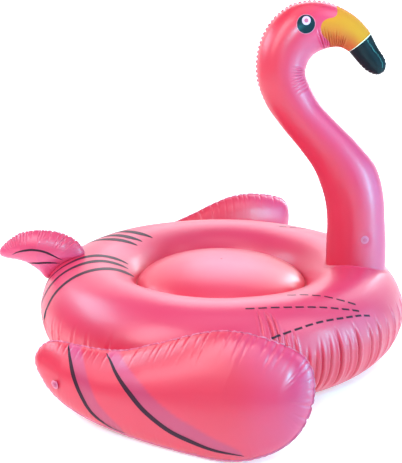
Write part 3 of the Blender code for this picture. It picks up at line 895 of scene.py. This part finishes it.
def build_beak_tip():
    """The dark glossy beak tip, with a lobed weld at its end and a pale rim at the border."""
    rng = np.random.default_rng(5)
    p, angle, at = tube_rows(TIP_ROWS, 130, 72)[:3]
    n = facing(p, False, True)
    from_seam = np.minimum(angle, 2 * math.pi - angle)
    edge = np.exp(-(np.minimum(from_seam, math.pi - from_seam) / 0.5) ** 2)
    lobes = np.abs(np.sin(math.pi * at / 0.017)) ** 0.6 - 1
    lift = 0.0030 * lobes[:, None] * edge[None, :] * smooth(at, 0.05, 0.10)[:, None]
    lift += 0.0006 * np.sin(angle * 5 + rng.uniform(0, 6))[None, :] * smooth(at, 0.01, 0.08)[:, None]
    p = p + n * lift[..., None]
    tip = Skin("beak_tip_skin").add(p, False, True).build(glossy_tip())
    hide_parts("beak_tip_left", "beak_tip_right")
    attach(tip, "neck")
    ring = p[0] + n[0] * 0.0006
    way = p[3] - p[0]
    way /= np.maximum(np.linalg.norm(way, axis=1, keepdims=True), 1e-9)
    rows = [ring - way * 0.0026, ring - way * 0.0010 + n[0] * 0.0006, ring + way * 0.0006]
    rim = Skin("beak_rim").add(np.stack(rows, 1), True, False)
    rim = rim.build(ink_finish("rim_print", RIM_PRINT, 0.30))
    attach(rim, "neck")


def build_eyes(tree):
    """Both eyes: pale outline, dark disc, and a round highlight with a pink centre."""
    s = settings()
    for name, (dx, dz), share, colour, layer in EYE_LAYERS:
        ink = ink_finish("eye_" + name + "_print", colour, 0.30)
        centre = (RING_X + EYE[0] + dx, 0, EYE[1] + dz)
        for side, word in ((1, "left"), (-1, "right")):
            piece = disc("eye_" + name + "_" + word, tree, centre, (0, -side, 0), s.eye_size / 2 * share,
                         s.film_lift * layer, ink)
            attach(piece, "neck")


# ---- pillows: wings and tail
def pillow(edge, spine, thickness, place, seam_pitch, pinch, rng, columns=26):
    """A pillow from its closed edge (n x 2): both sides in one grid, pinched along the seam.

    spine gives, for each edge point, its partner on the middle line and its share of the thickness.
    The result is the grid, its flat plan, and what the seam's film needs.
    """
    at, length = run_lengths(edge, True)
    middle, share = spine(edge)
    gap = np.linalg.norm(middle - edge, axis=1)
    folds = []
    mark = seam_pitch * 0.5
    while mark < length - seam_pitch * 0.5:
        folds.append((mark, seam_pitch * rng.uniform(0.10, 0.17), rng.uniform(0.25, 1.0),
                      rng.uniform(0.008, 0.030)))
        mark += seam_pitch * rng.uniform(0.6, 1.45)
    r = (np.arange(columns + 1) / columns) ** 1.7
    d = gap[:, None] * r[None, :]
    crease = np.zeros(d.shape)
    bulge = np.zeros(d.shape)
    for mark, width, depth, reach in folds:
        off = np.abs(at - mark) / width
        crease += (depth * np.exp(-off ** 2))[:, None] * np.exp(-d / reach)
        bulge += (depth * 0.5 * np.exp(-((off - 2.2) / 1.2) ** 2))[:, None] * np.exp(-d / reach)
    strength = pinch(edge)[:, None]
    flat = edge[:, None] + (middle - edge)[:, None] * r[None, :, None]
    inward = (middle - edge) / np.maximum(gap[:, None], 1e-9)
    notch, valley, swell = 0.0050, 0.0085, 0.0018
    flat += inward[:, None] * (crease * notch * strength * np.exp(-d / 0.02))[..., None]
    h = thickness / 2 * share[:, None] * np.maximum(0, 1 - (1 - r[None, :]) ** 1.8) ** 0.56
    fade = 1 - smooth(r, 0.45, 0.95)[None, :]
    h = h - valley * np.minimum(crease, 1.0) * strength * fade * smooth(h, 0.0, 0.03)
    h = h + swell * bulge * strength * fade * smooth(r, 0.0, 0.1)[None, :]
    low, high = (place(flat[..., 0], flat[..., 1], sign * h) for sign in (-1, 1))
    grid = np.concatenate([low[:, ::-1], high[:, 1:]], axis=1)
    plan = np.concatenate([flat[:, ::-1], flat[:, 1:]], axis=1)
    return grid, plan, (inward, crease[:, 0] * strength[:, 0])


def seam_film(name, edge, inward, crease, place, width, material):
    """The flat strip of film outside a pillow's weld, wavy and notched at its folds."""
    at = run_lengths(edge, True)[0]
    wide = width * (1 - 0.45 * np.minimum(crease, 1))
    sway = 0.0012 * np.sin(at * 2 * math.pi / 0.021) + 0.0008 * np.sin(at * 2 * math.pi / 0.047 + 1)
    rows = []
    for share in (-0.6, 0.0, 0.5, 1.0):
        q = edge - inward * (wide * share)[:, None] + inward * (crease * 0.005)[:, None]
        rows.append(place(q[:, 0], q[:, 1], sway * max(share, 0)))
    return Skin(name).add(np.stack(rows, 1), True, False).build(material)


def wing_place(side):
    """Placer of one wing: s along, z up, h out along the leaning middle surface."""
    def place(s, z, h):
        below = WING_FLARE_TOP - z
        eased = np.sqrt(below ** 2 + 0.07 ** 2)
        rise = (eased + below) / 2 / WING_FLARE_TOP
        out = WING_DIST + WING_FLARE * rise ** 1.4
        slope = 1.4 * WING_FLARE * rise ** 0.4 / WING_FLARE_TOP * (1 + below / eased) / 2
        size = np.hypot(1.0, slope)
        out = out + h / size
        z = z + h * slope / size
        x = RING_X + s * math.cos(WING_ANGLE) - out * math.sin(WING_ANGLE)
        y = s * math.sin(WING_ANGLE) + out * math.cos(WING_ANGLE)
        return np.stack(np.broadcast_arrays(x, side * y, z), -1)
    return place


def wing_spine(edge):
    """Middle line of a wing: partner point and share of thickness for each edge point."""
    mid_s = np.array([-0.290, -0.200, -0.050, 0.100, 0.250, 0.400, 0.500, 0.560])
    mid_z = np.array([0.186, 0.165, 0.148, 0.160, 0.178, 0.203, 0.215, 0.222])
    full = np.array([0.34, 0.62, 0.82, 0.95, 1.00, 1.00, 0.94, 0.88])
    share = (edge[:, 0] + 0.333) / (0.662 + 0.333)
    s = mid_s[0] + (mid_s[-1] - mid_s[0]) * np.clip((share - 0.03) / 0.92, 0, 1)
    return np.stack([s, np.interp(s, mid_s, mid_z)], 1), np.interp(s, mid_s, full)


def line_band(plan, line, width):
    """Share of print beside a line: full next to it and fading out on its far side."""
    best, along = beside(plan[..., 0], plan[..., 1], through(line, 60))
    reach = width * np.sin(math.pi * np.clip(along, 0.0, 1.0)) ** 0.5
    inside = smooth(best, -0.004, 0.002) * (1 - smooth(best, reach - 0.008, reach + 0.004))
    return inside * smooth(reach, 0.0, 0.010)


def build_wing(word, side, film_vinyl, ink):
    """One wing: its skin, seam film, printed lines and the web that holds it to the ring."""
    s = settings()
    rng = np.random.default_rng(21 if side < 0 else 22)
    edge = evenly(through(WING_EDGE, 900, True), 820, True)
    place = wing_place(side)

    def pinch(e):
        top = smooth(e[:, 1] - 0.10, 0.0, 0.08) * smooth(e[:, 0], -0.05, 0.2)
        return 0.15 + 0.85 * np.maximum(top, 0.35 * smooth(e[:, 1], 0.20, 0.25))

    grid, plan, (inward, crease) = pillow(
        edge, wing_spine, s.wing_thickness - FILM, place, 0.030, pinch, rng)
    grid = make_room(grid, word + "_wing_valve")
    grid[..., 2] = np.maximum(grid[..., 2], 0.001)
    if side < 0:
        grid, plan = grid[:, ::-1], plan[:, ::-1]
    band = np.maximum(*(line_band(plan, line, width) for line, width in zip(WING_LINES, WING_SHADE_WIDTHS)))
    # rim: rose towards the far end, printed; and towards the top, painted light from above
    rim = smooth(plan[..., 0], 0.30, 0.66) * 0.8 + smooth(plan[..., 1], 0.24, 0.40) * 0.35
    skin = Skin(word + "_wing_skin").add(
        grid, True, False, band=band, rim=rim, lift=smooth(plan[..., 1], 0.02, 0.30))
    wing = skin.build(vinyl(word + "_wing_vinyl", wing_colour))
    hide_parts(word + "_wing_outer_panel", word + "_wing_inner_panel")
    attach(wing, word + "_wing")
    seam = seam_film(word + "_wing_seam", edge, inward, crease, place, 0.0045, film_vinyl)
    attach(seam, word + "_wing")
    tree = skin.tree()
    strokes = strokes_on(tree, WING_LINES, WING_LINE_WIDTHS, place, 0.11, 80)
    print_lines = film(word + "_wing_lines", tree, strokes, ink, s.film_lift)
    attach(print_lines, word + "_wing")
    build_web(word, side, tree)


def build_web(word, side, wing_tree):
    """The welded root that joins a wing's inner side to the ring: a slim closed band."""
    half = settings().tube_width / 2
    mid = math.pi / 2 + WING_ANGLE
    spread = np.linspace(-1, 1, 49)
    turn = mid + np.radians(12 * spread)
    pinched = 0.010 * np.abs(spread) ** 3
    away = Vector((-math.sin(WING_ANGLE), side * math.cos(WING_ANGLE), 0))
    middle = 0.192
    profile = ((0.172, -0.05), (0.170, 0.5), (0.172, 1.05), (middle, 1.10), (0.212, 1.05), (0.214, 0.5),
               (0.212, -0.05), (middle, -0.10))
    rows = []
    for height, share in profile:
        level = height + pinched * np.sign(middle - height)
        around = np.arcsin((level - TUBE_H) / TUBE_H)
        row = []
        for p in tube_points(side * turn, around, half):
            hit = wing_tree.ray_cast(Vector(p), away, 0.12)[0]
            gap = hit - Vector(p) if hit else away * 0.012
            row.append(list(Vector(p) + gap * share))
        rows.append(row)
    grid = np.transpose(np.array(rows), (1, 0, 2))
    web = Skin(word + "_wing_web").add(grid, False, True).build(bpy.data.materials["ring_vinyl"])
    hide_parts(word + "_wing_tab")
    near = tube_points(np.array([side * mid]), np.array([0.0]), half)[0]
    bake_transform(web)


def build_tail(film_vinyl, ink):
    """The upright tail pillow, its seam film and its two printed strokes."""
    s = settings()
    rng = np.random.default_rng(31)
    root = [(-0.590, 0.345), (-0.632, 0.322), (-0.672, 0.290)]
    edge = evenly(through(TAIL_EDGE + root, 500, True), 420, True)

    def place(x, z, h):
        return np.stack(np.broadcast_arrays(RING_X + x, h, z), -1)

    def spine(e):
        t = np.clip((e[:, 0] + 0.892) / (0.892 - 0.60), 0, 1)
        mid_x = (-0.855, -0.80, -0.74, -0.665)
        x = mid_x[0] + (mid_x[-1] - mid_x[0]) * t
        z = np.interp(x, mid_x, (0.376, 0.388, 0.385, 0.362))
        return np.stack([x, z], 1), np.interp(x, mid_x, (0.55, 0.85, 1.0, 0.95))

    def pinch(e):
        return 0.15 + 0.85 * smooth(e[:, 1], 0.37, 0.43)

    grid, plan, (inward, crease) = pillow(
        edge, spine, s.tail_thickness - FILM, place, 0.016, pinch, rng, 20)
    grid = make_room(grid, "tail_valve")
    skin = Skin("tail_skin").add(grid, True, False, lift=smooth(plan[..., 1], 0.28, 0.46))
    tail = skin.build(vinyl("tail_vinyl", tail_colour))
    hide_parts("tail_left_panel", "tail_right_panel", "tail_tab")
    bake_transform(tail)
    seam = seam_film("tail_seam", edge, inward, crease, place, 0.0035, film_vinyl)
    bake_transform(seam)
    tree = skin.tree()
    strokes = strokes_on(tree, TAIL_LINES, (TAIL_LINE_WIDTH, TAIL_LINE_WIDTH), place, 0.2, 60)
    lines = film("tail_lines", tree, strokes, ink, s.film_lift)
    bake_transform(lines)


# ---- valves
def build_valves():
    """Give the valves' own parts their moulded vinyl."""
    clear = valve_finish("valve_clear_vinyl", VALVE_CLEAR)
    # plugs and caps take the deeper tint: partly painted shade
    plug = valve_finish("valve_plug_vinyl", VALVE_PLUG_PAINTED_SHADE)
    for name, node in frame["nodes"].items():
        if "valve" in name:
            for slot in node.material_slots:
                slot.material = plug if name.endswith(("plug", "cap")) else clear


# ---- stage
def plain_finish(name, colour, glow):
    """Matt studio paper, lit a little from behind."""
    finish = Finish(name, Roughness=0.9, Emission_Color=PAPER_GLOW, Emission_Strength=glow)
    finish.link(finish.mix(finish.noise(0.8), colour, shade(colour, 0.985, 0.0)), "Base Color")
    return finish.material


def build_stage():
    """Pale floor that curves up behind, soft lights and the camera."""
    scene = bpy.context.scene
    paper = Skin("studio_paper")
    x = np.linspace(-14, 14, 9)
    a = np.linspace(0, math.pi / 2, 13)
    y = np.concatenate([[-9, -3, 3], 6 + 4 * np.sin(a), [10]])
    z = np.concatenate([[0, 0, 0], 4 - 4 * np.cos(a), [10]])
    p = np.stack(np.broadcast_arrays(x[:, None], y, z - 0.001), -1)
    floor = paper.add(p).build(plain_finish("studio_paper_white", PAPER, 0.32))
    wall = Skin("studio_backdrop").add(p[:, 2:] + np.array([0, -0.02, 0.02]))
    wall.build(plain_finish("studio_backdrop_white", BACKDROP, 1.10))

    for name, place, aim, width, height, power, colour in LAMPS:
        light = bpy.data.lights.new(name, "AREA")
        light.shape = "RECTANGLE"
        light.size = width
        light.size_y = height
        light.energy = power
        light.color = colour
        lamp = bpy.data.objects.new(name, light)
        lamp.location = place
        lamp.rotation_euler = (Vector(aim) - Vector(place)).to_track_quat("-Z", "Y").to_euler()
        scene.collection.objects.link(lamp)
    world = bpy.data.worlds.new("studio_air")
    world.use_nodes = True
    air = world.node_tree.nodes["Background"].inputs
    air["Color"].default_value = AIR
    air["Strength"].default_value = 0.18
    scene.world = world
    scene.view_settings.view_transform = "Standard"

    camera = bpy.data.objects.new("camera", bpy.data.cameras.new("camera"))
    camera.data.sensor_fit = "VERTICAL"
    camera.data.sensor_height = 24.0
    camera.data.lens = CAMERA_LENS
    camera.location = CAMERA_PLACE
    camera.rotation_euler = (Vector(CAMERA_AIM) - camera.location).to_track_quat("-Z", "Y").to_euler()
    scene.collection.objects.link(camera)
    scene.camera = camera


# ---- operators
class FLOAT_OT_ring(bpy.types.Operator):
    """Build the ring with its stripes and dashes"""
    bl_idname = "bird_float.ring"
    bl_label = "Ring"

    def execute(self, context):
        build_ring()
        return {"FINISHED"}


class FLOAT_OT_seat(bpy.types.Operator):
    """Build the domed seat cushion"""
    bl_idname = "bird_float.seat"
    bl_label = "Seat"

    def execute(self, context):
        build_seat()
        return {"FINISHED"}


class FLOAT_OT_neck(bpy.types.Operator):
    """Build the neck, the head, the beak and the eyes"""
    bl_idname = "bird_float.neck"
    bl_label = "Neck and head"

    def execute(self, context):
        build_neck()
        return {"FINISHED"}


class FLOAT_OT_wings(bpy.types.Operator):
    """Build both wings and the tail with their printed lines"""
    bl_idname = "bird_float.wings"
    bl_label = "Wings and tail"

    def execute(self, context):
        film_vinyl = bpy.data.materials["weld_film"]
        ink = bpy.data.materials["printed_ink"]
        build_wing("right", -1, film_vinyl, ink)
        build_wing("left", 1, film_vinyl, ink)
        build_tail(film_vinyl, ink)
        return {"FINISHED"}


class FLOAT_OT_valves(bpy.types.Operator):
    """Finish the valves"""
    bl_idname = "bird_float.valves"
    bl_label = "Valves"

    def execute(self, context):
        build_valves()
        return {"FINISHED"}


class FLOAT_OT_stage(bpy.types.Operator):
    """Set the floor, the lights and the camera"""
    bl_idname = "bird_float.stage"
    bl_label = "Stage"

    def execute(self, context):
        build_stage()
        return {"FINISHED"}


class FLOAT_PT_panel(bpy.types.Panel):
    """Lists the float's settings and steps"""
    bl_label = "Bird float"
    bl_idname = "FLOAT_PT_panel"
    bl_space_type = "VIEW_3D"
    bl_region_type = "UI"
    bl_category = "Float"

    def draw(self, context):
        for key in FloatSettings.__annotations__:
            self.layout.prop(context.scene.bird_float, key)
        for step in STEPS:
            self.layout.operator(step.bl_idname)


STEPS = (FLOAT_OT_ring, FLOAT_OT_seat, FLOAT_OT_neck, FLOAT_OT_wings, FLOAT_OT_valves, FLOAT_OT_stage)
CLASSES = (FloatSettings, *STEPS, FLOAT_PT_panel)


def register():
    """Add the settings, the steps and the panel."""
    for cls in CLASSES:
        bpy.utils.register_class(cls)
    bpy.types.Scene.bird_float = bpy.props.PointerProperty(type=FloatSettings)


def unregister():
    """Take them away again."""
    del bpy.types.Scene.bird_float
    for cls in reversed(CLASSES):
        bpy.utils.unregister_class(cls)


def main():
    """Build the whole float."""
    register()
    bpy.ops.bird_float.ring()
    bpy.ops.bird_float.seat()
    bpy.ops.bird_float.neck()
    bpy.ops.bird_float.wings()
    bpy.ops.bird_float.valves()
    bpy.ops.bird_float.stage()


if __name__ == "__main__":
    main()
